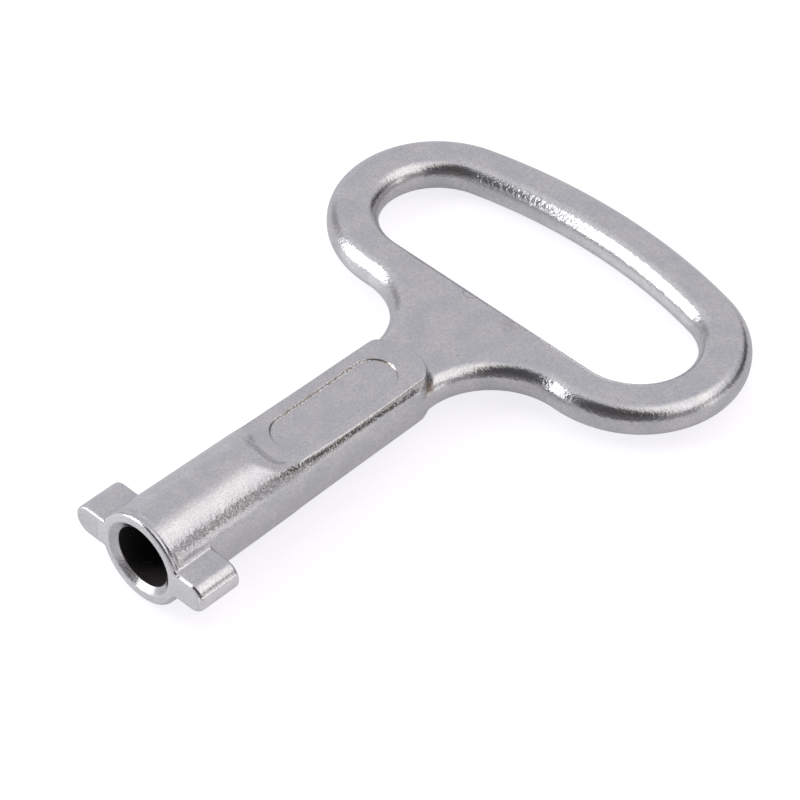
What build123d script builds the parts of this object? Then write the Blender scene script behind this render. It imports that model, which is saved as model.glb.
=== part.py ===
from build123d import *
from math import sqrt
import os

# A double-bit socket key: one plated zinc die casting, divided at flat butt faces into the
# regions a person names on it. All sizes are millimetres.
#
# Frame: the origin is the centre of the socket's mouth, on the end face of the tip.
# +Y runs along the shank to the handle, +X across the finger loop, +Z square to its flat.
# The middle plane of the handle, the bits and the shank's axis all lie in Z = 0.

# Driving dimensions: shank and socket
TIP_RADIUS = 5.4            # shank radius at the end face
REAR_RADIUS = 5.0           # shank radius where its half-round rear end starts
REAR_ROUND_Y = 34.4         # centre of that half-round end, seen from above
RIM_BREAK = 0.45            # bevel round the outside of the end face
BORE_RADIUS = 3.5
BORE_DEPTH = 12.0
MOUTH_RADIUS = 4.3          # wide end of the bore's lead-in
MOUTH_DEPTH = 0.6

# Driving dimensions: the two flats on the shank and the shallow panel sunk in each
FLAT_Z = 3.0                # height of a flat above the axis
FLAT_START_Y = 17.6         # foot of the ramp at the front of a flat
FLAT_FRONT_HALF = 3.2       # half of a flat's width at its front
FLAT_FLARE = 0.147          # how fast each side of a flat moves out towards the rear
FLAT_CORNER = 1.5           # plan radius of the flat's front corners
RAMP_ANGLE = 45.0           # the ramp leans back this far from upright
PANEL_START_Y = 19.4
PANEL_END_Y = 36.2
PANEL_WIDTH = 5.2
PANEL_DEPTH = 0.3

# Driving dimensions: handle
PLATE_HALF = 2.03           # half of the handle's thickness
EDGE_ROUND = 1.9            # rounding along every edge of the handle
LOOP_BAR = 5.7              # width of the loop's bar, the same all the way round
SLOT_END_RADIUS = 6.85      # ends of the finger slot
SLOT_END_X = 14.15          # centres of those ends
SLOT_END_Y = 59.0
SLOT_TOP_Y = 67.7           # crown of the slot's arched top
NECK_HALF = 4.95            # half width of the neck at its narrowest
NECK_RADIUS = 8.55          # hollow curve from the neck to the loop
STEP_FILLET = 0.8           # between the shank's rear end and the handle's flat

# Driving dimensions: bits
BIT_REACH = 9.15            # from the axis to the fully rounded end of a bit
BIT_LENGTH = 5.2            # along the shank
BIT_HALF = 1.75             # half of the thickness
BIT_SPLIT_X = 5.9           # a bit's root, this far out, is part of the barrel
BIT_EDGE_BREAK = 0.35       # rounding of the edges of the front and rear faces

# Butt faces between the pieces
BARREL_SPLIT_Y = 14.4
NECK_SPLIT_Y = 41.0
LOOP_SPLIT_Y = 45.5

# Worked out from the above
LOOP_END_RADIUS = SLOT_END_RADIUS + LOOP_BAR
SLOT_BOTTOM_Y = SLOT_END_Y - SLOT_END_RADIUS
CROWN_RISE = SLOT_TOP_Y - SLOT_BOTTOM_Y - 2 * SLOT_END_RADIUS
CROWN_OFFSET = (SLOT_END_X**2 + CROWN_RISE**2) / (2 * CROWN_RISE)
SLOT_CROWN_RADIUS = CROWN_OFFSET + SLOT_END_RADIUS
CROWN_CENTRE_Y = SLOT_TOP_Y - SLOT_CROWN_RADIUS
NECK_CURVE_X = NECK_HALF + NECK_RADIUS
NECK_CURVE_Y = SLOT_END_Y - sqrt((NECK_RADIUS + LOOP_END_RADIUS) ** 2 - (NECK_CURVE_X - SLOT_END_X) ** 2)
NECK_START_Y = REAR_ROUND_Y - 3.0   # the neck starts inside the shank
FLAT_CUT_LENGTH = 50.0      # reaches past the rear end of the shank
FLAT_REAR_HALF = FLAT_FRONT_HALF + FLAT_FLARE * FLAT_CUT_LENGTH
FLATS = (Plane.XY.offset(FLAT_Z), Plane.XY.rotated((0, 180, 0)).offset(FLAT_Z))
FAR = 100.0                 # reaches past the whole key


def shank_radius(y):
    """Radius of the tapered shank at a distance y from the end face."""
    return TIP_RADIUS + (REAR_RADIUS - TIP_RADIUS) * y / REAR_ROUND_Y


def outer_arc_point(end_radius, crown_radius):
    """Where an end arc of the loop meets its crown arc."""
    crown_to_end = Vector(SLOT_END_X, SLOT_END_Y - CROWN_CENTRE_Y)
    return Vector(0, CROWN_CENTRE_Y) + crown_to_end.normalized() * crown_radius


def mid_arc_point(centre, start, end):
    """The middle of the shorter arc round a centre from start to end."""
    radius = (start - centre).length
    return centre + ((start + end) * 0.5 - centre).normalized() * radius


def handle_plate():
    """Neck, web and finger loop as one rounded plate, to be divided between three pieces."""
    end_centre = Vector(SLOT_END_X, SLOT_END_Y)
    side = end_centre + Vector(LOOP_END_RADIUS, 0)
    crown = Vector(0, SLOT_TOP_Y + LOOP_BAR)
    shoulder = outer_arc_point(LOOP_END_RADIUS, SLOT_CROWN_RADIUS + LOOP_BAR)
    neck_centre = Vector(NECK_CURVE_X, NECK_CURVE_Y)
    waist = neck_centre + (end_centre - neck_centre).normalized() * NECK_RADIUS
    neck_end = Vector(NECK_HALF, NECK_CURVE_Y)
    slot_shoulder = outer_arc_point(SLOT_END_RADIUS, SLOT_CROWN_RADIUS)
    slot_side = end_centre + Vector(SLOT_END_RADIUS, 0)
    slot_corner = Vector(SLOT_END_X, SLOT_BOTTOM_Y)
    crown_centre = Vector(0, CROWN_CENTRE_Y)

    with BuildPart() as plate:
        with BuildSketch(Plane.XY.offset(-PLATE_HALF)):
            with BuildLine():
                Polyline((0, NECK_START_Y), (NECK_HALF, NECK_START_Y), neck_end)
                ThreePointArc(neck_end, mid_arc_point(neck_centre, neck_end, waist), waist)
                ThreePointArc(waist, mid_arc_point(end_centre, waist, side), side)
                ThreePointArc(side, mid_arc_point(end_centre, side, shoulder), shoulder)
                ThreePointArc(shoulder, mid_arc_point(crown_centre, shoulder, crown), crown)
                mirror(about=Plane.YZ)
            make_face()
            with BuildLine():
                Line((0, SLOT_BOTTOM_Y), slot_corner)
                ThreePointArc(slot_corner, mid_arc_point(end_centre, slot_corner, slot_side), slot_side)
                ThreePointArc(slot_side, mid_arc_point(end_centre, slot_side, slot_shoulder), slot_shoulder)
                ThreePointArc(
                    slot_shoulder,
                    mid_arc_point(crown_centre, slot_shoulder, Vector(0, SLOT_TOP_Y)),
                    (0, SLOT_TOP_Y),
                )
                mirror(about=Plane.YZ)
            make_face(mode=Mode.SUBTRACT)
        extrude(amount=2 * PLATE_HALF)
        rims = plate.edges().filter_by(lambda e: abs(abs(e.center().Z) - PLATE_HALF) < 0.01)
        fillet(rims.filter_by(lambda e: e.center().Y > NECK_START_Y + 0.1), EDGE_ROUND)
    return plate.part


plate = handle_plate()

# Finger loop: a bar of even width round a D-shaped finger slot
with BuildPart() as finger_loop:
    add(plate)
    split(bisect_by=Plane.ZX.offset(LOOP_SPLIT_Y), keep=Keep.TOP)

# Web: the flat, hollow-sided stretch between the neck and the loop
with BuildPart() as web:
    add(plate)
    split(bisect_by=Plane.ZX.offset(NECK_SPLIT_Y), keep=Keep.TOP)
    split(bisect_by=Plane.ZX.offset(LOOP_SPLIT_Y), keep=Keep.BOTTOM)

# Shank: a tapered round bar with a half-round rear end, a ramped flat above and below, a
# shallow panel in each flat, and the neck growing out of its rear end
with BuildPart() as shank:
    with BuildSketch(Plane.XY):
        with BuildLine():
            end_y = REAR_ROUND_Y + REAR_RADIUS
            Polyline(
                (0, BARREL_SPLIT_Y),
                (shank_radius(BARREL_SPLIT_Y), BARREL_SPLIT_Y),
                (shank_radius(end_y), end_y),
                (0, end_y),
                close=True,
            )
        make_face()
    revolve(axis=Axis.Y)
    with BuildSketch(Plane.XY):
        with Locations((0, REAR_ROUND_Y)):
            Rectangle(FAR, FAR, align=(Align.CENTER, Align.MIN))
            Circle(shank_radius(REAR_ROUND_Y), mode=Mode.SUBTRACT)
    extrude(amount=FAR / 2, both=True, mode=Mode.SUBTRACT)
    for flat in FLATS:
        with BuildSketch(flat):
            with BuildLine():
                Polyline(
                    (-FLAT_FRONT_HALF, FLAT_START_Y),
                    (FLAT_FRONT_HALF, FLAT_START_Y),
                    (FLAT_REAR_HALF, FLAT_START_Y + FLAT_CUT_LENGTH),
                    (-FLAT_REAR_HALF, FLAT_START_Y + FLAT_CUT_LENGTH),
                    close=True,
                )
            make_face()
            fillet(vertices().group_by(Axis.Y)[0], FLAT_CORNER)
        extrude(amount=TIP_RADIUS - FLAT_Z, taper=-RAMP_ANGLE, mode=Mode.SUBTRACT)
    add(plate)
    step_foot = edges().filter_by(GeomType.CIRCLE).filter_by(
        lambda e: abs(abs(e.center().Z) - PLATE_HALF) < 0.05 and e.center().Y < NECK_SPLIT_Y - 0.5
    )
    fillet(step_foot, STEP_FILLET)
    split(bisect_by=Plane.ZX.offset(NECK_SPLIT_Y), keep=Keep.BOTTOM)
    for flat in FLATS:
        with BuildSketch(flat):
            with Locations((0, (PANEL_START_Y + PANEL_END_Y) / 2)):
                SlotOverall(PANEL_END_Y - PANEL_START_Y, PANEL_WIDTH, rotation=90)
        extrude(amount=-PANEL_DEPTH, mode=Mode.SUBTRACT)


def bit_blank():
    """One bit on the +X side, from inside the barrel's wall to its fully rounded outer end."""
    with BuildPart() as blank:
        with BuildSketch(Plane.XZ):
            with BuildLine():
                root_x = (BORE_RADIUS + TIP_RADIUS) / 2
                nose_x = BIT_REACH - BIT_HALF
                Polyline(
                    (nose_x, -BIT_HALF),
                    (root_x, -BIT_HALF),
                    (root_x, BIT_HALF),
                    (nose_x, BIT_HALF),
                )
                ThreePointArc((nose_x, BIT_HALF), (BIT_REACH, 0), (nose_x, -BIT_HALF))
            make_face()
        extrude(amount=-BIT_LENGTH)
        ends = faces().filter_by(Axis.Y).edges()
        fillet(ends.filter_by(lambda e: e.center().X > root_x + 0.1), BIT_EDGE_BREAK)
    return blank.part


bit = bit_blank()

# Barrel: the hollow front of the shank, with the roots of both bits
with BuildPart() as barrel:
    with BuildSketch(Plane.XY):
        with BuildLine():
            Polyline(
                (0, 0),
                (TIP_RADIUS - RIM_BREAK, 0),
                (shank_radius(RIM_BREAK), RIM_BREAK),
                (shank_radius(BARREL_SPLIT_Y), BARREL_SPLIT_Y),
                (0, BARREL_SPLIT_Y),
                close=True,
            )
        make_face()
    revolve(axis=Axis.Y)
    add(bit)
    add(bit.mirror(Plane.YZ))
    split(bisect_by=Plane.YZ.offset(BIT_SPLIT_X), keep=Keep.BOTTOM)
    split(bisect_by=Plane.YZ.offset(-BIT_SPLIT_X), keep=Keep.TOP)
    with BuildSketch(Plane.XY):
        with BuildLine():
            Polyline(
                (0, 0),
                (MOUTH_RADIUS, 0),
                (BORE_RADIUS, MOUTH_DEPTH),
                (BORE_RADIUS, BORE_DEPTH),
                (0, BORE_DEPTH),
                close=True,
            )
        make_face()
    revolve(axis=Axis.Y, mode=Mode.SUBTRACT)

# Bits: a wing on each side of the tip, flush with the end face
with BuildPart() as right_bit:
    add(bit)
    split(bisect_by=Plane.YZ.offset(BIT_SPLIT_X), keep=Keep.TOP)

with BuildPart() as left_bit:
    add(right_bit.part.mirror(Plane.YZ))

pieces = {
    "finger_loop": finger_loop,
    "web": web,
    "shank": shank,
    "barrel": barrel,
    "right_bit": right_bit,
    "left_bit": left_bit,
}
os.makedirs("parts", exist_ok=True)
for label, piece in pieces.items():
    piece.part.label = label
    export_step(piece.part, f"parts/{label}.step")
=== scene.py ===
import math

import bmesh
import bpy
import numpy as np
from mathutils import Matrix, Vector


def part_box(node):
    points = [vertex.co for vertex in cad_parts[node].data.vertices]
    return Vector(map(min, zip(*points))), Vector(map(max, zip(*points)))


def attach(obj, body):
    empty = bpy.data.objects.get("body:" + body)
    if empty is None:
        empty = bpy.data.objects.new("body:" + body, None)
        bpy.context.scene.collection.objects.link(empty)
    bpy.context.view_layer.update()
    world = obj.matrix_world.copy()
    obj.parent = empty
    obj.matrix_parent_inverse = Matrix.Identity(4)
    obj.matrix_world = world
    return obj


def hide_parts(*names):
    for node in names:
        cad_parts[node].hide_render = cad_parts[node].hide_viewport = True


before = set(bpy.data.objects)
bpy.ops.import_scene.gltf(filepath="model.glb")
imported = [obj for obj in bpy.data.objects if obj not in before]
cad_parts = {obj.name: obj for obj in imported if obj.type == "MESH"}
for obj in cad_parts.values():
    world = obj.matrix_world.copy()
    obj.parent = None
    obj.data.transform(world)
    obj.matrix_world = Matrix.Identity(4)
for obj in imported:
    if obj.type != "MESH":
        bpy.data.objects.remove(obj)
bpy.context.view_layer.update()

# The key's skin is one smooth function of place, in millimetres: negative inside the metal,
# zero on its surface. Each CAD node is replaced by the stretch of that skin between its own
# butt faces, so neighbours meet without a step and fillets run across the joints.
MM = 0.001


def cad_mm(node):
    """Lowest and highest corner of a CAD node in millimetres."""
    low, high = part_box(node)
    return np.array(low) / MM, np.array(high) / MM


loop_low, loop_high = cad_mm("finger_loop")
web_low, web_high = cad_mm("web")
shank_low, shank_high = cad_mm("shank")
barrel_low, barrel_high = cad_mm("barrel")
bit_low, bit_high = cad_mm("right_bit")

# Shank and socket
TIP_RADIUS = 5.4
REAR_RADIUS = 5.0
REAR_ROUND_Y = 34.4
REAR_EDGE_ROUND = 0.3
BORE_RADIUS = 3.5
BORE_DEPTH = 12.0
BORE_END_ROUND = 0.5
BORE_EDGE_ROUND = 0.1
MOUTH_RADIUS = 4.3
MOUTH_DEPTH = 0.6
RIM_ROUND = 0.4
GROOVE_Y = 0.72
GROOVE_DEPTH = 0.07
GROOVE_WIDTH = 0.2

# Flats on the shank. Their front edge is a ramp, rounded at its foot and its shoulder, and
# both roundings grow where the polishing wore them more.
FLAT_Z = 3.0
FLAT_START_Y = 17.6
FLAT_SKEW = 0.09
FLAT_FRONT_HALF = 3.2
FLAT_FLARE = 0.147
FLAT_LEFT_HALF = 5.2
FLAT_CORNER = 1.5
FOOT_ROUND = 0.3
FOOT_LEFT_EXTRA = 1.6
FOOT_RIGHT_EXTRA = 0.5
SHOULDER_ROUND = 0.14
SHOULDER_FRONT_EXTRA = 1.1

# The polished strip under each long edge of a flat. Ahead of the flat it stands clear of the
# round surface, so it cuts nothing there.
FACET_ANGLE = 47.0
FACET_DEPTH = 0.12
FACET_REAR_DEPTH = 0.03
FACET_CLEARANCE = 0.33
FACET_EDGE_ROUND = 0.15

# The panel sunk in each flat
PANEL_START_Y = 19.4
PANEL_END_Y = 36.2
PANEL_HALF_WIDTH = 2.6
PANEL_DEPTH = 0.3
PANEL_REAR_FADE = 0.4
PANEL_WALL_LEAN = 0.35
PANEL_FOOT_ROUND = 0.1
PANEL_EDGE_ROUND = 0.09

# Handle
PLATE_HALF = loop_high[2]
EDGE_ROUND = 1.9
LOOP_BAR = 5.7
SLOT_END_RADIUS = 6.85
SLOT_END_X = loop_high[0] - LOOP_BAR - SLOT_END_RADIUS
SLOT_END_Y = 59.0
SLOT_TOP_Y = loop_high[1] - LOOP_BAR
NECK_HALF = 4.95
NECK_RADIUS = 8.55
NECK_START_Y = 31.4
NECK_FILLET = 0.35
NECK_EDGE_EXTRA = 0.75
HIDDEN_FILLET = 0.02

# Bits
BIT_REACH = bit_high[0]
BIT_LENGTH = bit_high[1]
BIT_HALF = bit_high[2]
BIT_FRONT_ROUND = 0.55
LEFT_BIT_FRONT_ROUND = 0.3
BIT_REAR_ROUND = 0.3
BIT_ROOT_FILLET = 0.3

# Worked out from the above
LOOP_END_RADIUS = SLOT_END_RADIUS + LOOP_BAR
SLOT_BOTTOM_Y = SLOT_END_Y - SLOT_END_RADIUS
CROWN_RISE = SLOT_TOP_Y - SLOT_BOTTOM_Y - 2 * SLOT_END_RADIUS
CROWN_RADIUS = (SLOT_END_X**2 + CROWN_RISE**2) / (2 * CROWN_RISE) + SLOT_END_RADIUS
CROWN_Y = SLOT_TOP_Y - CROWN_RADIUS
NECK_X = NECK_HALF + NECK_RADIUS
NECK_REACH = NECK_RADIUS + LOOP_END_RADIUS
NECK_Y = SLOT_END_Y - math.sqrt(NECK_REACH**2 - (NECK_X - SLOT_END_X) ** 2)
WAIST_X = NECK_X + (SLOT_END_X - NECK_X) * NECK_RADIUS / NECK_REACH
PANEL_LOW_Y = PANEL_START_Y + PANEL_HALF_WIDTH
PANEL_HIGH_Y = PANEL_END_Y - PANEL_HALF_WIDTH


# ---------------------------------------------------------------- shape functions

def blend_max(a, b, size):
    """The larger of a and b, rounded over where they cross."""
    share = np.maximum(size - np.abs(a - b), 0) / size
    return np.maximum(a, b) + share * share * size / 4


def blend_min(a, b, size):
    """The smaller of a and b, filleted where they cross."""
    return -blend_max(-a, -b, size)


def ease(value, low, high):
    """0 below low, 1 above high, smooth between."""
    t = np.clip((value - low) / (high - low), 0, 1)
    return t * t * (3 - 2 * t)


def slot_outline(x, y):
    """Distance in plan to the edge of the finger slot."""
    ax = np.abs(x)
    end_x, end_y = ax - SLOT_END_X, y - SLOT_END_Y
    past_crown = (SLOT_END_Y - CROWN_Y) * ax - SLOT_END_X * (y - CROWN_Y)
    at_end = (end_x > 0) & (past_crown > 0)
    end = np.hypot(end_x, end_y) - SLOT_END_RADIUS
    between = np.maximum(SLOT_BOTTOM_Y - y, np.hypot(ax, y - CROWN_Y) - CROWN_RADIUS)
    return np.where(at_end, end, between)


def neck_outline(x, y):
    """Distance in plan to the hollow-sided neck and web."""
    ax = np.abs(x)
    hollow = NECK_RADIUS - np.hypot(ax - NECK_X, y - NECK_Y)
    side = np.where(y > NECK_Y, hollow, ax - NECK_HALF)
    return np.maximum.reduce([side, ax - WAIST_X, NECK_START_Y - y, y - SLOT_END_Y])


def plate(x, y, z):
    """Neck, web and loop with rounded edges."""
    slot = slot_outline(x, y)
    outline = np.maximum(np.minimum(slot - LOOP_BAR, neck_outline(x, y)), -slot)
    across = outline + EDGE_ROUND
    up = np.abs(z) - PLATE_HALF + EDGE_ROUND
    outside = np.hypot(np.maximum(across, 0), np.maximum(up, 0))
    return outside + np.minimum(np.maximum(across, up), 0) - EDGE_ROUND


def shank_radius(y):
    """Radius of the tapered shank."""
    return TIP_RADIUS + (REAR_RADIUS - TIP_RADIUS) * y / REAR_ROUND_Y


def round_bar(x, y, z):
    """The tapered shank with its half-round rear end."""
    rear = np.hypot(x, np.maximum(y - REAR_ROUND_Y, 0)) - REAR_RADIUS
    rear = np.where(y > REAR_ROUND_Y, rear, -1.0)
    return blend_max(np.hypot(x, z) - shank_radius(y), rear, REAR_EDGE_ROUND)


def flat_cut(x, y, z):
    """What the flats take off the shank, above and below, with a 45 degree ramp at the front."""
    az = np.abs(z)
    from_front = y - FLAT_START_Y + FLAT_SKEW * x
    right_side = x - FLAT_FRONT_HALF - FLAT_FLARE * from_front
    in_x = np.where(x > 0, right_side, -x - FLAT_LEFT_HALF) + FLAT_CORNER
    in_y = FLAT_CORNER - from_front
    corner = np.hypot(np.maximum(in_x, 0), np.maximum(in_y, 0))
    plan = corner + np.minimum(np.maximum(in_x, in_y), 0) - FLAT_CORNER
    ramp = (plan - (az - FLAT_Z)) * math.sqrt(0.5)
    foot = FOOT_ROUND + FOOT_LEFT_EXTRA * ease(-x, 0.9, 3.0) + FOOT_RIGHT_EXTRA * ease(x, 1.6, 3.0)
    return blend_max(FLAT_Z - az, ramp, foot)


def edge_facet(x, y, z):
    """The polished-down strip under each long edge of a flat, fading out at both ends."""
    turn = math.radians(FACET_ANGLE)
    depth = (FACET_CLEARANCE + FACET_DEPTH) * ease(y, 15.5, 19.0) - FACET_CLEARANCE
    depth = depth - (FACET_DEPTH - FACET_REAR_DEPTH) * ease(y, 26.0, 35.0)
    across = np.abs(x) * math.sin(turn) + np.abs(z) * math.cos(turn)
    return across - shank_radius(y) + depth


def panel_cut(x, y, z):
    """The shallow round-ended panel sunk in each flat, with leaning walls."""
    az = np.abs(z)
    wall = np.hypot(x, y - np.clip(y, PANEL_LOW_Y, PANEL_HIGH_Y)) - PANEL_HALF_WIDTH
    wall = (wall - (az - FLAT_Z) * PANEL_WALL_LEAN) / math.hypot(1, PANEL_WALL_LEAN)
    depth = PANEL_DEPTH * (1 - PANEL_REAR_FADE * ease(y, 30.5, 35.5))
    return blend_max(wall, FLAT_Z - depth - az, PANEL_FOOT_ROUND)


def bits(x, y, z):
    """Both bits, with fully rounded outer ends."""
    nose = np.hypot(np.maximum(np.abs(x) - BIT_REACH + BIT_HALF, 0), z) - BIT_HALF
    return blend_max(nose, y - BIT_LENGTH, BIT_REAR_ROUND)


def rim_groove(x, y, z):
    """How far the worn ring behind the rim is sunk. It is deepest on the upper side."""
    upper = ease(z + 0.6 * np.abs(x), 0.5, 3.5)
    return GROOVE_DEPTH * upper * np.exp(-(((y - GROOVE_Y) / GROOVE_WIDTH) ** 2))


def bore(x, y, z):
    """The blind bore and its lead-in."""
    lead_in = (MOUTH_RADIUS - BORE_RADIUS) * np.maximum(MOUTH_DEPTH - y, 0) / MOUTH_DEPTH
    return blend_max(np.hypot(x, z) - BORE_RADIUS - lead_in, y - BORE_DEPTH, BORE_END_ROUND)


def key(x, y, z):
    """The whole key."""
    d = blend_max(round_bar(x, y, z), edge_facet(x, y, z), FACET_EDGE_ROUND)
    shoulder = SHOULDER_ROUND + SHOULDER_FRONT_EXTRA * (1 - ease(y, 16.2, 20.5))
    d = blend_max(d, -flat_cut(x, y, z), shoulder)
    d = blend_max(d, -panel_cut(x, y, z), PANEL_EDGE_ROUND)
    fillet = NECK_FILLET + NECK_EDGE_EXTRA * ease(np.abs(z), 1.2, 2.0)
    d = blend_min(d, plate(x, y, z), fillet * ease(y, 33.0, 37.5) + HIDDEN_FILLET)
    d = d + rim_groove(x, y, z)
    d = blend_min(d, bits(x, y, z), BIT_ROOT_FILLET)
    bit_round = np.where(x > 0, BIT_FRONT_ROUND, LEFT_BIT_FRONT_ROUND) - RIM_ROUND
    d = blend_max(d, -y, RIM_ROUND + bit_round * ease(np.abs(x), 5.2, 6.0))
    return blend_max(d, -bore(x, y, z), BORE_EDGE_ROUND)


def slope(points, reach=0.01):
    """Gradient of the key function at each point."""
    columns = []
    for axis in np.eye(3) * reach:
        ahead, behind = (points + axis).T, (points - axis).T
        columns.append((key(*ahead) - key(*behind)) / (2 * reach))
    return np.stack(columns, -1)


# ---------------------------------------------------------------- meshes

def surface_net(low, high, step):
    """Points and quads of the key's surface inside a box, one point per crossed cell."""
    axes = [np.arange(a - 2 * step, b + 3 * step, step) for a, b in zip(low, high)]
    field = key(*np.meshgrid(*axes, indexing="ij"))
    origin = np.array([a[0] for a in axes])
    cells = np.array(field.shape) - 1
    corners = np.array([(i, j, k) for i in (0, 1) for j in (0, 1) for k in (0, 1)])

    def corner_block(values, corner):
        return values[tuple(slice(c, c + n) for c, n in zip(corner, cells))]

    inside = field < 0
    filled = sum(corner_block(inside, c).astype(np.int8) for c in corners)
    crossed = (filled > 0) & (filled < len(corners))
    number = np.full(cells, -1, np.int64)
    number[crossed] = np.arange(crossed.sum())
    cell = np.argwhere(crossed)
    values = np.stack([corner_block(field, c)[crossed] for c in corners], -1)

    total = np.zeros((len(cell), 3))
    count = np.zeros(len(cell))
    for a in range(len(corners)):
        for b in range(a + 1, len(corners)):
            if np.abs(corners[a] - corners[b]).sum() != 1:
                continue
            start, end = values[:, a], values[:, b]
            cut = (start < 0) != (end < 0)
            t = np.where(cut, start / np.where(cut, start - end, 1), 0)[:, None]
            total += np.where(cut[:, None], corners[a] + t * (corners[b] - corners[a]), 0)
            count += cut
    points = origin + (cell + total / count[:, None]) * step

    quads = []
    for axis in range(3):
        side_a, side_b = (axis + 1) % 3, (axis + 2) % 3
        crossing = inside != np.roll(inside, -1, axis)
        edge = np.argwhere(crossing)
        fits = np.all(edge[:, [side_a, side_b]] > 0, 1) & np.all(edge < cells, 1)
        edge = edge[fits]
        ring = []
        for back_a, back_b in ((0, 0), (1, 0), (1, 1), (0, 1)):
            shifted = edge.copy()
            shifted[:, side_a] -= back_a
            shifted[:, side_b] -= back_b
            ring.append(number[tuple(shifted.T)])
        ring = np.stack(ring, -1)
        outward = inside[tuple(edge.T)]
        ring[~outward] = ring[~outward][:, ::-1]
        quads.append(ring)
    return points, np.concatenate(quads)


def settle(points, rounds=5, plane_axis=None):
    """Moves points onto the surface along its slope, or within a plane across one axis."""
    flattest, longest_move = 0.05, 0.1
    points = points.copy()
    for _ in range(rounds):
        g = slope(points)
        if plane_axis is not None:
            g[:, plane_axis] = 0
        move = key(*points.T)[:, None] * g / np.maximum((g * g).sum(1, keepdims=True), flattest)
        points -= np.clip(move, -longest_move, longest_move)
    return points


def cut_square(shape, axis, place, side, step):
    """Cuts the mesh square to an axis, keeps the side that side points to, and caps it."""
    normal = Vector([side * float(i == axis) for i in range(3)])
    bmesh.ops.bisect_plane(
        shape,
        geom=shape.verts[:] + shape.edges[:] + shape.faces[:],
        dist=0.2 * step,
        plane_co=normal * place * side,
        plane_no=normal,
        use_snap_center=True,
        clear_inner=True,
    )
    rim = [e for e in shape.edges if e.is_boundary]
    on_rim = sorted({v for e in rim for v in e.verts}, key=lambda v: v.index)
    on_rim = [v for v in on_rim if abs(v.co[axis] - place) < 0.3 * step]
    edge_points = settle(np.array([v.co for v in on_rim]), plane_axis=axis)
    for vertex, place_on_edge in zip(on_rim, edge_points):
        vertex.co = place_on_edge
        vertex.co[axis] = place
    rim = [e for e in rim if all(abs(v.co[axis] - place) < 1e-5 for v in e.verts)]
    cap = bmesh.ops.holes_fill(shape, edges=rim, sides=0)["faces"]
    bmesh.ops.poke(shape, faces=cap)


def corner_normals(mesh, cuts):
    """The key's true slope at every face corner, and square normals on the butt faces."""
    places = np.zeros(len(mesh.vertices) * 3)
    mesh.vertices.foreach_get("co", places)
    outward = slope(places.reshape(-1, 3))
    outward /= np.maximum(np.linalg.norm(outward, axis=1, keepdims=True), 1e-9)
    corner_vertex = np.zeros(len(mesh.loops), np.int64)
    mesh.loops.foreach_get("vertex_index", corner_vertex)
    normals = outward[corner_vertex]
    for polygon in mesh.polygons:
        for axis, place, side in cuts:
            if abs(polygon.center[axis] - place) < 1e-4 and abs(polygon.normal[axis]) > 0.99:
                square = [0.0, 0.0, 0.0]
                square[axis] = -float(side)
                normals[list(polygon.loop_indices)] = square
    return normals


def skin(name, node, low, high, step, cuts):
    """Builds one closed piece of the key between its butt faces.

    cuts holds (axis, place, side): the piece keeps the side of place that side points to."""
    points, quads = surface_net(low, high, step)
    mesh = bpy.data.meshes.new(name)
    mesh.from_pydata(settle(points).tolist(), [], quads.tolist())
    shape = bmesh.new()
    shape.from_mesh(mesh)
    for axis, place, side in cuts:
        cut_square(shape, axis, place, side, step)
    bmesh.ops.recalc_face_normals(shape, faces=shape.faces[:])
    shape.to_mesh(mesh)
    shape.free()

    normals = corner_normals(mesh, cuts)
    mesh.polygons.foreach_set("use_smooth", [True] * len(mesh.polygons))
    mesh.transform(Matrix.Scale(MM, 4))
    mesh.normals_split_custom_set(normals.tolist())
    mesh.update()
    piece = bpy.data.objects.new(name, mesh)
    bpy.context.scene.collection.objects.link(piece)
    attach(piece, "root")
    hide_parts(node)
    return piece


# ---------------------------------------------------------------- material nodes

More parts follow.
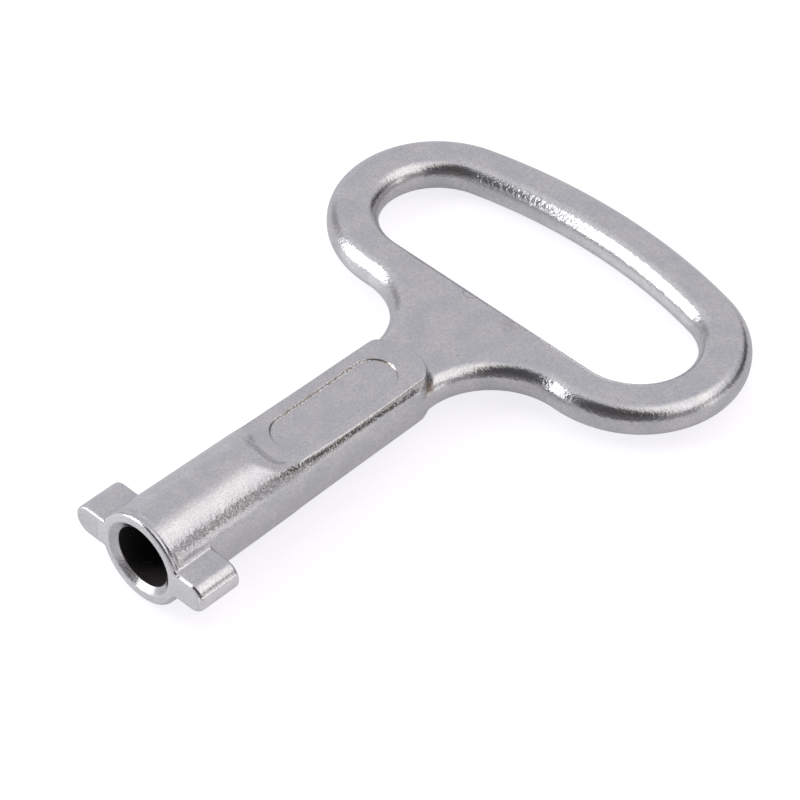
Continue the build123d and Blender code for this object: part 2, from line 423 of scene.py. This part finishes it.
class Nodes:
    """Short calls for building a shader node tree."""

    def __init__(self, tree):
        self.tree = tree
        tree.nodes.clear()

    def add(self, kind, **settings):
        node = self.tree.nodes.new(kind)
        for name, value in settings.items():
            setattr(node, name, value)
        return node

    def join(self, source, target):
        self.tree.links.new(source, target)

    def fill(self, socket, value):
        if isinstance(value, bpy.types.NodeSocket):
            self.join(value, socket)
        else:
            socket.default_value = value

    def math(self, operation, a, b=0.0, c=0.0):
        node = self.add("ShaderNodeMath", operation=operation)
        for socket, value in zip(node.inputs, (a, b, c)):
            self.fill(socket, value)
        return node.outputs[0]

    def combine(self, operation, values):
        """One value made from several by an operation on two."""
        result = values[0]
        for value in values[1:]:
            result = self.math(operation, result, value)
        return result

    def product(self, *factors):
        return self.combine("MULTIPLY", factors)

    def sum(self, *terms):
        return self.combine("ADD", terms)

    def largest(self, *values):
        return self.combine("MAXIMUM", values)

    def vector(self, operation, a, b=(0, 0, 0)):
        node = self.add("ShaderNodeVectorMath", operation=operation)
        self.fill(node.inputs[0], a)
        self.fill(node.inputs[1], b)
        return node.outputs["Value" if operation in ("DOT_PRODUCT", "DISTANCE") else "Vector"]

    def ramp(self, value, low, high, start=0.0, end=1.0):
        node = self.add("ShaderNodeMapRange", interpolation_type="SMOOTHSTEP")
        for socket, number in zip(node.inputs, (value, low, high, start, end)):
            self.fill(socket, number)
        return node.outputs[0]

    def fall(self, value, low, high):
        """1 below low, 0 above high, smooth between."""
        return self.ramp(value, low, high, 1.0, 0.0)

    def band(self, value, low, high, soft):
        """1 between low and high, fading over soft on both sides."""
        rise = self.ramp(value, low - soft, low + soft)
        return self.product(rise, self.fall(value, high - soft, high + soft))

    def noise(self, where, size, detail=2.0, roughness=0.5):
        """Noise from 0 to 1 with features of about the given size."""
        node = self.add("ShaderNodeTexNoise")
        self.fill(node.inputs["Vector"], where)
        node.inputs["Scale"].default_value = 1 / size
        node.inputs["Detail"].default_value = detail
        node.inputs["Roughness"].default_value = roughness
        return node.outputs["Fac"]

    def mix(self, share, a, b):
        node = self.add("ShaderNodeMix", data_type="RGBA")
        self.fill(node.inputs["Factor"], share)
        self.fill(node.inputs["A"], a)
        self.fill(node.inputs["B"], b)
        return node.outputs["Result"]


# Colours of the plating and of what sits on it
COOL_NICKEL = (0.66, 0.66, 0.675, 1)
WARM_NICKEL = (0.74, 0.73, 0.725, 1)
MATT_NICKEL = (0.57, 0.565, 0.575, 1)
GREY_SPECK = (0.42, 0.42, 0.44, 1)
# Painted dark reflection band along the shank's sides, and its painted dark line under the flat's
# edge
PAINTED_DARK_BAND_GREY = (0.22, 0.21, 0.21, 1)
PAINTED_DARK_LINE_BLACK = (0.09, 0.08, 0.075, 1)
# Painted sparkle on the tip's bright stretch and the right bit's outer face
PAINTED_SPARKLE_WHITE = (0.93, 0.92, 0.93, 1)
# Painted glints
BRIGHT_GLINT = (0.95, 0.94, 0.93, 1)
PIT_BLACK = (0.12, 0.11, 0.11, 1)
DIRT_BROWN = (0.30, 0.235, 0.18, 1)
MARK_GREY = (0.20, 0.19, 0.19, 1)
# Near black of the bore's wall past the lead-in, and its brown flecks
BORE_BLACK = (0.085, 0.078, 0.078, 1)
BORE_BROWN_FLECK = (0.24, 0.21, 0.17, 1)


class Plating(Nodes):
    """Node tree of the plated skin. Places are the key's own, in millimetres."""

    def __init__(self, tree):
        super().__init__(tree)
        metres = self.add("ShaderNodeTexCoord").outputs["Object"]
        self.where = self.vector("MULTIPLY", metres, (1 / MM, 1 / MM, 1 / MM))
        split = self.add("ShaderNodeSeparateXYZ")
        self.join(self.where, split.inputs[0])
        self.x, self.y, self.z = split.outputs["X"], split.outputs["Y"], split.outputs["Z"]
        self.from_axis = self.length(self.x, self.z)
        self.cloud = self.noise(self.where, 2.6, 3.0)
        self.mottle = self.noise(self.where, 0.45, 3.0, 0.6)
        self.coarse = self.noise(self.where, 0.21, 2.0, 0.65)

    def length(self, a, b):
        return self.math("SQRT", self.sum(self.product(a, a), self.product(b, b)))

    def spot(self, centre, radius, soft=0.5):
        """1 within a ball, fading over its outer part."""
        return self.fall(self.vector("DISTANCE", self.where, centre), radius * (1 - soft), radius)

    def shank_strips(self):
        """The strips down both sides of the shank that the polishing left rough, with painted
        reflection in their colour: the whole strip of painted dark band, its painted dark upper line
        along the flat, and the bright stretch below it at the tip, painted with sparkle.

        Angles are in degrees around the shank, from the middle of a flat."""
        ax, az = self.math("ABSOLUTE", self.x), self.math("ABSOLUTE", self.z)
        ragged = self.math("SUBTRACT", self.mottle, 0.5)
        ragged = self.product(ragged, self.ramp(self.y, 14, 20, 10.9, 4.0))
        turn = self.sum(self.product(self.math("ARCTAN2", ax, az), 180 / math.pi), ragged)
        upper = self.sum(self.ramp(self.y, 12, 24, 45, 55), self.ramp(self.y, 24, 36, 0, 4))
        lower = self.ramp(self.y, 6, 19, 56, 62)
        below_upper = self.math("SUBTRACT", turn, upper)
        below_lower = self.math("SUBTRACT", turn, lower)
        on_shank = self.product(
            self.band(self.y, 1.5, 36, 1),
            self.ramp(self.from_axis, 4.6, 4.8),
            self.ramp(self.x, -1, 1, 0.15, 1.0),
        )
        # Masks for the painted dark band, its painted dark line and the painted bright stretch
        strip = self.product(self.ramp(below_upper, -2.5, 2.5), self.fall(below_lower, -2.5, 2.5))
        line = self.product(self.band(below_upper, -0.5, 4.5, 1.5), self.ramp(self.y, 13, 18))
        bright = self.product(self.band(below_lower, 0, 8, 2.5), self.fall(self.y, 9, 14))
        return [self.product(part, on_shank) for part in (strip, line, bright)]

    def blunt_nose(self):
        """The rough lower outer face of the right bit, which also gets painted sparkle and glints.
        """
        return self.product(
            self.ramp(self.x, 8.55, 8.75), self.fall(self.z, 0.78, 0.92), self.fall(self.y, 5.6, 6.0)
        )

    def worn_front(self):
        """The worn front edge of the left bit."""
        return self.product(self.fall(self.x, -6.2, -5.8), self.fall(self.y, 0.35, 0.5))

    def plate_edges(self):
        """Patches on the rounded edges of web and loop that the polishing left rough."""
        return self.product(
            self.band(self.math("ABSOLUTE", self.z), 0.3, 1.7, 0.3),
            self.ramp(self.y, 38, 42),
            self.ramp(self.mottle, 0.42, 0.55, 0.0, 0.17),
        )

    def pits(self):
        """A few tiny dark pits anywhere, and a larger one on the web."""
        cells = self.add("ShaderNodeTexVoronoi")
        self.join(self.where, cells.inputs["Vector"])
        cells.inputs["Scale"].default_value = 1 / 1.7
        small = self.fall(cells.outputs["Distance"], 0.03, 0.06)
        small = self.product(small, self.ramp(self.cloud, 0.45, 0.55))
        return self.largest(small, self.spot((3.38, 42.88, 2.03), 0.14))

    def dirt(self):
        """Polishing dirt along the panel's wall and the flat's edge, in the pocket behind the
        shank, and as a stain beside the finger slot."""
        along_panel = self.math("MINIMUM", self.math("MAXIMUM", self.y, PANEL_LOW_Y), PANEL_HIGH_Y)
        from_spine = self.length(self.x, self.math("SUBTRACT", self.y, along_panel))
        wall = self.product(
            self.band(from_spine, 2.42, 2.66, 0.05),
            self.fall(self.x, 1.2, 2.0),
            self.ramp(self.y, 21, 23),
            self.ramp(self.z, 2.6, 2.7),
            0.8,
        )
        shoulder = self.product(
            self.band(self.z, 2.80, 2.965, 0.03),
            self.ramp(self.x, 2.5, 3.0),
            self.band(self.y, 22, 37, 1),
            0.55,
        )
        lines = self.product(self.largest(wall, shoulder), self.ramp(self.coarse, 0.42, 0.58))
        pocket = self.spot((4.35, 37.5, 1.75), 1.0, 0.7)
        pocket = self.product(pocket, self.ramp(self.mottle, 0.3, 0.6, 0.55, 0.95))
        stain = self.spot((4.0, 50.4, 2.0), 2.2, 0.9)
        stain = self.product(stain, self.ramp(self.mottle, 0.35, 0.6), 0.24)
        return self.largest(lines, pocket, stain)

    def half_moon(self):
        """A half-moon left by an ejector pin at the edge of the finger slot."""
        distance = self.vector("DISTANCE", self.where, (-2.4, 51.1, 1.85))
        return self.band(distance, 0.80, 0.88, 0.05)

    def bore_shade(self):
        """The bore's wall past the lead-in, coloured near black and made rougher."""
        in_bore = self.fall(self.from_axis, BORE_RADIUS + 0.03, BORE_RADIUS + 0.08)
        return self.product(in_bore, self.ramp(self.y, MOUTH_DEPTH - 0.1, MOUTH_DEPTH + 0.02))


def nickel_plate(name, dark_bore=False):
    """Satin nickel over a die casting, coarser where the polishing wheel did not reach, with a
    painted dark reflection band, painted sparkle and painted glints in its colour.
    """
    material = bpy.data.materials.new(name)
    material.use_nodes = True
    n = Plating(material.node_tree)
    strip, painted_dark_line, bright_stretch = n.shank_strips()
    nose, worn, moon, dirt = n.blunt_nose(), n.worn_front(), n.half_moon(), n.dirt()
    crumpled_and_painted_sparkle = n.largest(bright_stretch, nose)
    rough_and_painted_glint = n.largest(strip, bright_stretch, n.product(nose, 0.7), n.product(worn, 0.5))

    base = n.mix(n.ramp(n.cloud, 0.35, 0.65), COOL_NICKEL, WARM_NICKEL)
    speck = n.ramp(n.noise(n.where, 0.19, 1.0), 0.40, 0.65)
    layers = [
        (n.ramp(n.mottle, 0.35, 0.65, 0.0, 0.35), MATT_NICKEL),
        (n.product(speck, 0.36), GREY_SPECK),
        # Painted dark reflection band down the shank's sides, and its painted dark line along the
        # flat's edge
        (n.product(strip, n.ramp(n.coarse, 0.40, 0.60, 1.0, 0.3), 0.62), PAINTED_DARK_BAND_GREY),
        (n.product(painted_dark_line, n.ramp(n.coarse, 0.48, 0.65, 1.0, 0.1), 0.9), PAINTED_DARK_LINE_BLACK),
        # Painted sparkle on the shank's bright stretch at the tip and on the right bit's outer face
        (n.product(crumpled_and_painted_sparkle, 0.65), PAINTED_SPARKLE_WHITE),
        # Painted glints in sparse spots on the strips, the right bit's outer face and the left bit's
        # front edge
        (n.product(rough_and_painted_glint, n.ramp(n.coarse, 0.58, 0.68), 0.7), BRIGHT_GLINT),
        (n.product(n.pits(), 0.7), PIT_BLACK),
        (dirt, DIRT_BROWN),
        (n.product(moon, 0.75), MARK_GREY),
    ]
    rough = n.sum(0.165, n.product(n.mottle, 0.07), n.product(worn, 0.25), n.product(dirt, 0.3))
    if dark_bore:
        shade = n.bore_shade()
        # The bore's wall past the lead-in is coloured near black with brown flecks
        layers.append((shade, n.mix(n.ramp(n.coarse, 0.62, 0.70), BORE_BLACK, BORE_BROWN_FLECK)))
        rough = n.sum(rough, n.product(shade, 0.42))
    for share, colour in layers:
        base = n.mix(share, base, colour)

    along = n.vector("MULTIPLY", n.where, (1.0, 0.14, 1.0))
    height = n.sum(
        n.product(n.noise(n.where, 0.24, 2.0, 0.6), 0.020),
        n.product(n.noise(n.where, 0.9, 1.0), 0.010),
        n.product(n.mottle, 0.009),
        n.product(n.noise(along, 0.12, 2.0, 0.6), 0.002),
        n.product(n.largest(rough_and_painted_glint, n.plate_edges()), n.coarse, 0.055),
        n.product(crumpled_and_painted_sparkle, n.mottle, 0.10),
        n.product(moon, -0.02),
    )
    bump = n.add("ShaderNodeBump")
    bump.inputs["Strength"].default_value = 1.0
    bump.inputs["Distance"].default_value = MM
    n.join(height, bump.inputs["Height"])

    shader = n.add("ShaderNodeBsdfPrincipled")
    shader.inputs["Metallic"].default_value = 1.0
    n.join(base, shader.inputs["Base Color"])
    n.join(rough, shader.inputs["Roughness"])
    n.join(bump.outputs["Normal"], shader.inputs["Normal"])
    n.join(shader.outputs[0], n.add("ShaderNodeOutputMaterial").inputs["Surface"])
    return material


# ---------------------------------------------------------------- pieces

FINE, MEDIUM, LARGE = 0.12, 0.2, 0.25
ALONG_X, ALONG_Y = 0, 1
loop_joint = loop_low[1]
neck_joint = web_low[1]
barrel_joint = barrel_high[1]
bit_joint = bit_low[0]

plated = nickel_plate("nickel_plate")
plated_barrel = nickel_plate("nickel_plate_bore", dark_bore=True)

loop_cuts = [(ALONG_Y, loop_joint, 1)]
web_cuts = [(ALONG_Y, neck_joint, 1), (ALONG_Y, loop_joint, -1)]
shank_cuts = [(ALONG_Y, barrel_joint, 1), (ALONG_Y, neck_joint, -1)]
barrel_cuts = [(ALONG_Y, barrel_joint, -1), (ALONG_X, bit_joint, -1), (ALONG_X, -bit_joint, 1)]
skins = [
    skin("finger_loop_skin", "finger_loop", loop_low, loop_high, LARGE, loop_cuts),
    skin("web_skin", "web", web_low, web_high, MEDIUM, web_cuts),
    skin("shank_skin", "shank", shank_low, shank_high, FINE, shank_cuts),
    skin("barrel_skin", "barrel", barrel_low, barrel_high, FINE, barrel_cuts),
    skin("right_bit_skin", "right_bit", bit_low, bit_high, FINE, [(ALONG_X, bit_joint, 1)]),
    skin("left_bit_skin", "left_bit", *cad_mm("left_bit"), FINE, [(ALONG_X, -bit_joint, -1)]),
]
for piece in skins:
    barrel = piece.name == "barrel_skin"
    piece.data.materials.append(plated_barrel if barrel else plated)


# ---------------------------------------------------------------- stage, light, camera

def direction(azimuth, elevation):
    """Unit vector: azimuth 0 looks along +Y and 90 along +X, in degrees."""
    a, e = math.radians(azimuth), math.radians(elevation)
    return Vector((math.sin(a) * math.cos(e), math.cos(a) * math.cos(e), math.sin(e)))


def soft_card(n, colour, card, azimuth, elevation, half_width, half_height, softness):
    """Blends a soft-edged oval card into the sky colour. Sizes are in degrees."""
    centre = direction(azimuth, elevation)
    right = Vector((math.cos(math.radians(azimuth)), -math.sin(math.radians(azimuth)), 0))
    up = right.cross(centre)
    ray = n.add("ShaderNodeTexCoord").outputs["Generated"]
    ahead = n.vector("DOT_PRODUCT", ray, centre)
    parts = []
    for axis, half in ((right, half_width), (up, half_height)):
        offset = n.math("ARCTAN2", n.vector("DOT_PRODUCT", ray, axis), ahead)
        offset = n.math("DIVIDE", n.math("ABSOLUTE", offset), math.radians(half))
        parts.append(n.math("POWER", offset, 3.0))
    spread = n.math("POWER", n.sum(*parts), 1 / 3)
    return n.mix(n.fall(spread, 1 - softness, 1 + softness), colour, card)


def studio_world():
    """A pale surround with light and dark cards in it, seen only in the metal. The camera
    itself sees it white."""
    world = bpy.data.worlds.new("studio")
    world.use_nodes = True
    n = Nodes(world.node_tree)
    pale, white = (0.66, 0.65, 0.69, 1), (0.98, 0.98, 0.99, 1)
    # Colour, azimuth, elevation, half width, half height and softness of each card
    cards = [
        ((0.72, 0.73, 0.79, 1), -66, 0, 14, 18, 0.5),
        ((0.84, 0.83, 0.86, 1), -100, 58, 20, 14, 0.6),
        ((0.38, 0.37, 0.385, 1), -95, 18, 14, 14, 0.4),
        ((0.37, 0.35, 0.36, 1), 92, 10, 34, 15, 0.3),
        ((0.08, 0.076, 0.08, 1), 159, 43, 44, 36, 0.2),
        ((0.145, 0.137, 0.142, 1), 145, 14, 36, 17, 0.4),
        ((0.06, 0.056, 0.06, 1), 16, 13, 24, 12, 0.4),
        ((0.22, 0.21, 0.22, 1), 58, 22, 26, 6, 0.4),
        ((1.2, 1.18, 1.17, 1), 65, 8, 9, 13, 0.4),
    ]
    sky = pale
    for card in cards:
        sky = soft_card(n, sky, *card)
    sky = n.mix(n.add("ShaderNodeLightPath").outputs["Is Camera Ray"], sky, white)
    background = n.add("ShaderNodeBackground")
    n.join(sky, background.inputs["Color"])
    n.join(background.outputs[0], n.add("ShaderNodeOutputWorld").inputs["Surface"])
    return world


def softbox(name, centre, across, up, level, tint, fade):
    """A rectangular light facing the key. across and up are its full sides, and fade is the
    share of its width over which it dims towards its first side."""
    data = bpy.data.lights.new(name, "AREA")
    data.shape = "RECTANGLE"
    data.size = across.length
    data.size_y = up.length
    data.energy = level * math.pi * data.size * data.size_y
    data.color = tint
    data.use_nodes = True
    n = Nodes(data.node_tree)
    across_share = n.add("ShaderNodeSeparateXYZ")
    n.join(n.add("ShaderNodeNewGeometry").outputs["Parametric"], across_share.inputs[0])
    glow = n.add("ShaderNodeEmission")
    n.join(n.ramp(across_share.outputs["X"], 0.0, fade), glow.inputs["Strength"])
    n.join(glow.outputs[0], n.add("ShaderNodeOutputLight").inputs["Surface"])
    x, y = across.normalized(), up.normalized()
    if x.cross(y).dot(centre - KEY_CENTRE) < 0:
        y = -y
    lamp = bpy.data.objects.new(name, data)
    turn = Matrix((x, y, x.cross(y))).transposed().to_4x4()
    lamp.matrix_world = Matrix.Translation(centre) @ turn
    lamp.visible_camera = False
    bpy.context.scene.collection.objects.link(lamp)


def pale_floor():
    """A pale floor with a faint sheen, brighter to the camera than in reflections, and clear
    from below so that the key's underside can be looked at."""
    material = bpy.data.materials.new("pale_floor")
    material.use_nodes = True
    n = Nodes(material.node_tree)
    diffuse = n.add("ShaderNodeBsdfDiffuse")
    diffuse.inputs["Color"].default_value = (0.40, 0.40, 0.405, 1)
    sheen = n.add("ShaderNodeBsdfGlossy")
    sheen.inputs["Roughness"].default_value = 0.36
    surface = n.add("ShaderNodeMixShader")
    surface.inputs[0].default_value = 0.13
    n.join(diffuse.outputs[0], surface.inputs[1])
    n.join(sheen.outputs[0], surface.inputs[2])
    glow = n.add("ShaderNodeEmission")
    glow.inputs["Color"].default_value = (1.0, 0.985, 1.03, 1)
    camera_ray = n.add("ShaderNodeLightPath").outputs["Is Camera Ray"]
    n.join(n.ramp(camera_ray, 0, 1, 0.30, 0.76), glow.inputs["Strength"])
    both = n.add("ShaderNodeAddShader")
    n.join(surface.outputs[0], both.inputs[0])
    n.join(glow.outputs[0], both.inputs[1])
    seen = n.add("ShaderNodeMixShader")
    n.join(n.add("ShaderNodeNewGeometry").outputs["Backfacing"], seen.inputs[0])
    n.join(both.outputs[0], seen.inputs[1])
    n.join(n.add("ShaderNodeBsdfTransparent").outputs[0], seen.inputs[2])
    n.join(seen.outputs[0], n.add("ShaderNodeOutputMaterial").inputs["Surface"])
    return material


bpy.context.scene.world = studio_world()

# A warm overhead softbox to the right rear of the key, and a tall white one to the left front
KEY_CENTRE = Vector((0, 35, 0)) * MM
OVERHEAD = 0.9
softbox(
    "overhead_softbox",
    KEY_CENTRE + Vector((0.7, 0.35, 1.0)) * OVERHEAD,
    Vector((1.8, 0, 0)) * OVERHEAD,
    Vector((0, 1.24, 0)) * OVERHEAD,
    0.68,
    (1.0, 0.95, 0.90),
    0.34,
)
toward = direction(-135, 0)
sideways = Vector((toward.y, -toward.x, 0))
leaning = Matrix.Rotation(math.radians(16), 3, toward)
softbox(
    "front_softbox",
    KEY_CENTRE + toward + sideways * 0.065 + Vector((0, 0, 0.68)),
    leaning @ sideways * 0.51,
    leaning @ Vector((0, 0, 1.32)),
    4.6,
    (1.0, 1.0, 1.0),
    0.02,
)

# The key rests on the underside of its shank, just before the flat, and on the far side of its
# loop, so in the key's own frame the floor leans up towards the handle.
CONTACT_GAP = 0.01
FLOOR_HALF = 3.0
touch_y = FLAT_START_Y - TIP_RADIUS + FLAT_Z
shank_touch = Vector((0, touch_y, -shank_radius(touch_y) - CONTACT_GAP)) * MM
loop_touch = Vector((0, loop_high[1] - EDGE_ROUND, -PLATE_HALF - CONTACT_GAP)) * MM
rise = loop_touch - shank_touch
corner_signs = ((-1, -1), (1, -1), (1, 1), (-1, 1))
floor_corners = [(x * FLOOR_HALF, y * FLOOR_HALF, 0) for x, y in corner_signs]
floor_mesh = bpy.data.meshes.new("floor")
floor_mesh.from_pydata(floor_corners, [], [(0, 1, 2, 3)])
floor_mesh.materials.append(pale_floor())
floor = bpy.data.objects.new("floor", floor_mesh)
floor.location = shank_touch
floor.rotation_euler = (math.atan2(rise.z, rise.y), 0, 0)
bpy.context.scene.collection.objects.link(floor)

# Angles in radians, from straight in front of the tip and from level
CAMERA_AZIMUTH = 0.7376
CAMERA_ELEVATION = 0.7619
CAMERA_ROLL = 0.038
CAMERA_DISTANCE = 394.87 * MM
AIM = Vector((2.38, 35.26, 0)) * MM
back = Vector(
    (
        math.sin(CAMERA_AZIMUTH) * math.cos(CAMERA_ELEVATION),
        -math.cos(CAMERA_AZIMUTH) * math.cos(CAMERA_ELEVATION),
        math.sin(CAMERA_ELEVATION),
    )
)
right = Vector((math.cos(CAMERA_AZIMUTH), math.sin(CAMERA_AZIMUTH), 0))
up = back.cross(right)
tilted_right = right * math.cos(CAMERA_ROLL) + up * math.sin(CAMERA_ROLL)
tilted_up = up * math.cos(CAMERA_ROLL) - right * math.sin(CAMERA_ROLL)
camera_data = bpy.data.cameras.new("camera")
camera_data.sensor_width = 36
camera_data.lens = 170.07
camera_data.clip_start = 0.01
camera = bpy.data.objects.new("camera", camera_data)
camera.matrix_world = Matrix.Translation(AIM + back * CAMERA_DISTANCE) @ (
    Matrix((tilted_right, tilted_up, back)).transposed().to_4x4()
)
bpy.context.scene.collection.objects.link(camera)
bpy.context.scene.camera = camera
bpy.context.scene.view_settings.view_transform = "Standard"
